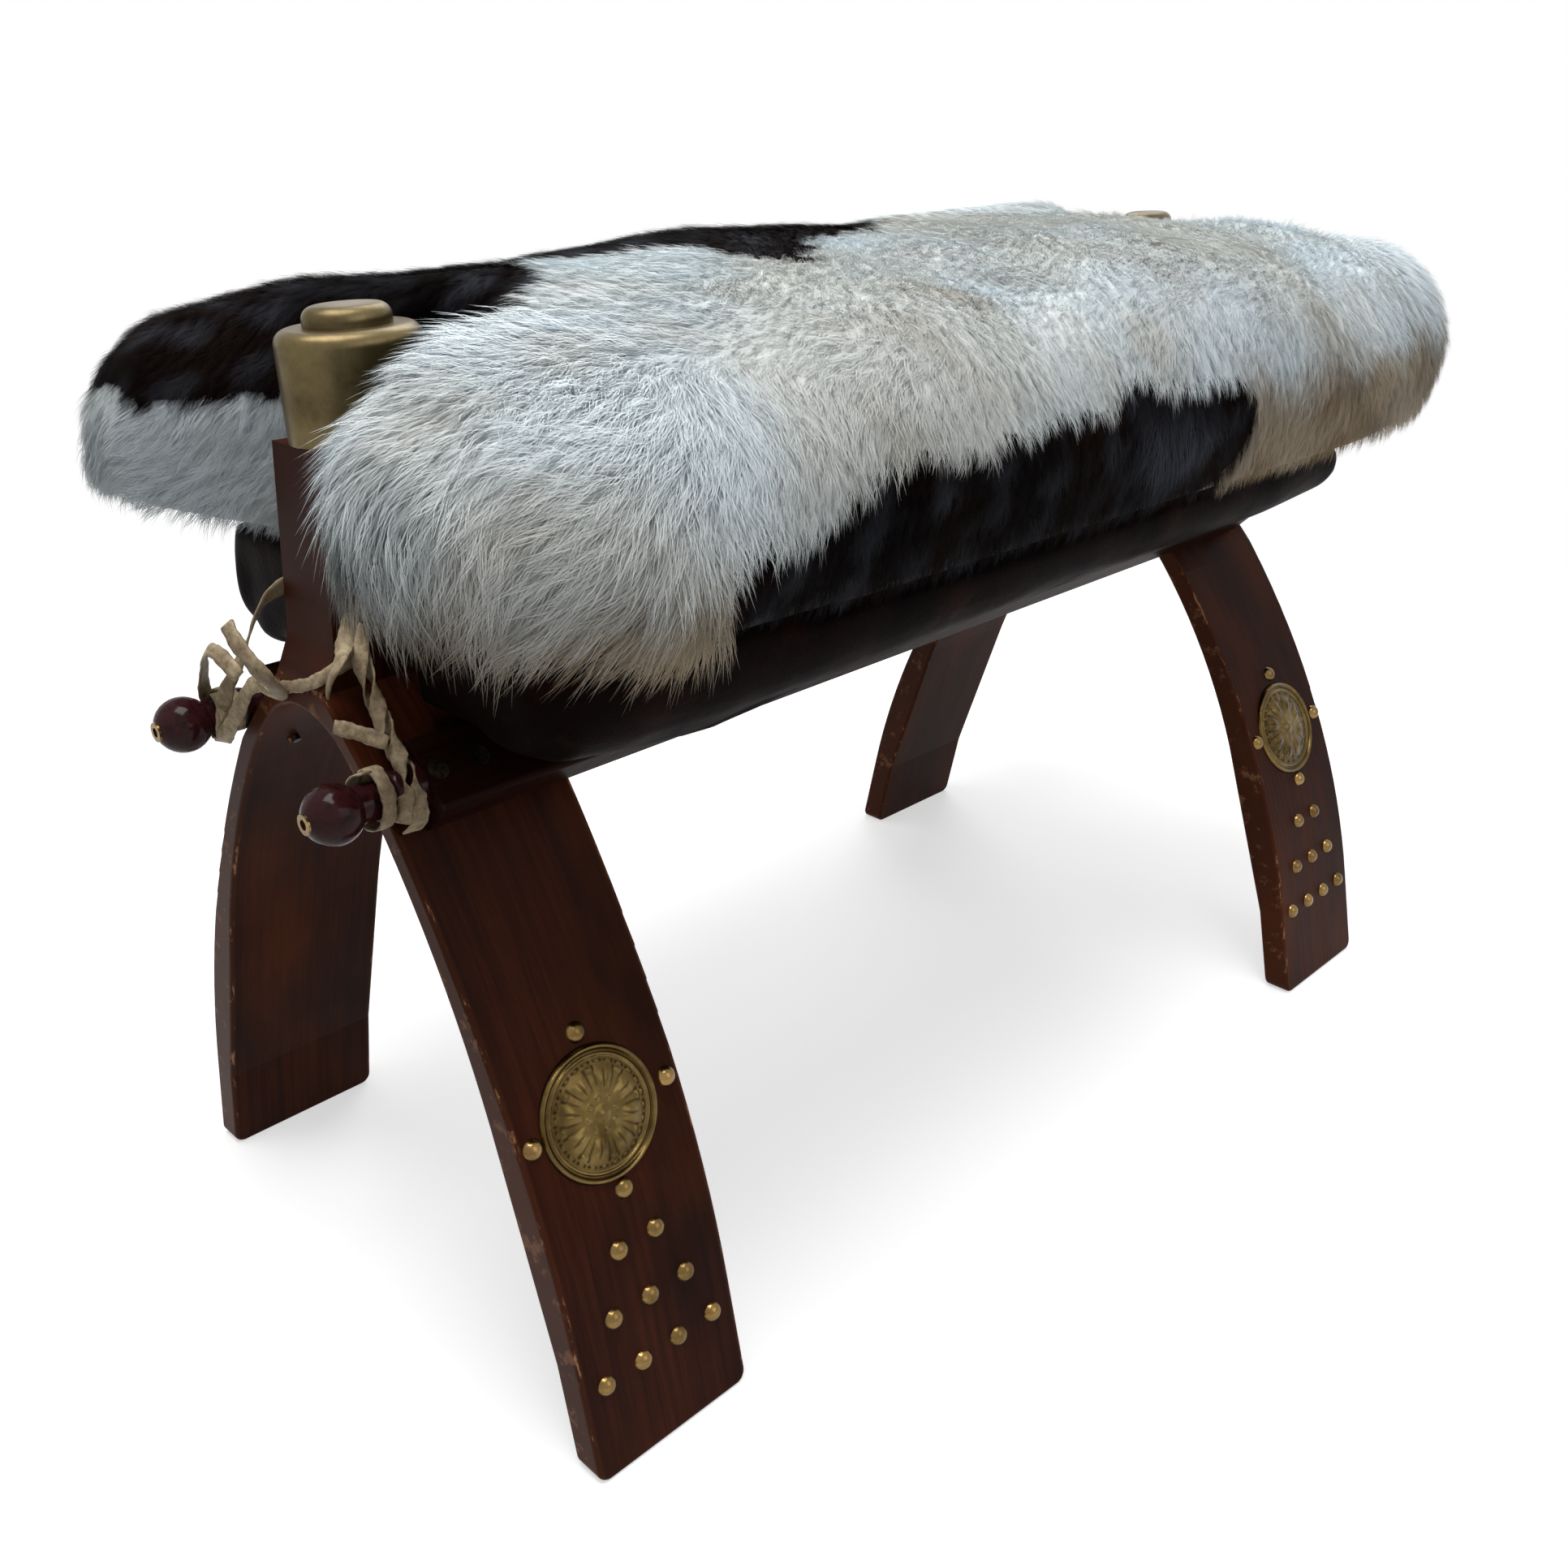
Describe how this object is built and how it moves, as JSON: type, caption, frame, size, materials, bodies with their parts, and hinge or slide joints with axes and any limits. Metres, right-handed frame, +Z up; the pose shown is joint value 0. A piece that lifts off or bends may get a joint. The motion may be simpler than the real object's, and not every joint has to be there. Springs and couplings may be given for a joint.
{
  "type": "camel saddle stool",
  "caption": "Camel saddle stool: arched wooden plank legs with capped horns, side rails with knobs, rawhide lashings, brass ornaments, and a loose hair-on-hide cushion on a leather pad.",
  "frame": {"origin": "on the floor, under the middle of the stool's bounding box", "axes": "+Z up; +Y along the stool towards the rear arch, whose feet stand wider; +X to the right seen from the front"},
  "size_m": [0.381, 0.7574, 0.4809],
  "materials": {
    "leg_wood": "stained and varnished, worn at the edges",
    "rail_wood": "dark reddish stain, glossy knobs",
    "dowel_wood": "plain, inside the horn",
    "cap_brass": "aged, greenish gold",
    "ornament_brass": "aged, bright on the high spots",
    "screw_steel": "dull",
    "rawhide": "dry cream rawhide",
    "hide_fur": "hair-on hide, white with black and tan patches",
    "pad_leather": "dark brown, soft, slightly glossy",
    "filling": "hidden filling"
  },
  "bodies": {
    "frame": {"front_right_leg": "leg_wood", "front_left_leg": "leg_wood", "rear_right_leg": "leg_wood", "rear_left_leg": "leg_wood", "right_side_rail": "rail_wood", "left_side_rail": "rail_wood", "horn_dowels": "dowel_wood", "front_horn_cap": "cap_brass", "rear_horn_cap": "cap_brass", "front_right_medallion": "ornament_brass", "front_left_medallion": "ornament_brass", "rear_right_medallion": "ornament_brass", "rear_left_medallion": "ornament_brass", "front_right_nails": "ornament_brass", "front_left_nails": "ornament_brass", "rear_right_nails": "ornament_brass", "rear_left_nails": "ornament_brass", "knob_tip_rings": "ornament_brass", "rail_screws": "screw_steel", "front_lashing": "rawhide", "rear_lashing": "rawhide"},
    "cushion": {"hide_cover": "hide_fur", "leather_pad": "pad_leather", "cushion_stuffing": "filling", "pad_stuffing": "filling"}
  },
  "joints": [
    {"name": "cushion_lift", "type": "slide", "parent": "frame", "child": "cushion", "axis": [0, 0, 1], "range_m": [0, 0.18]}
  ]
}
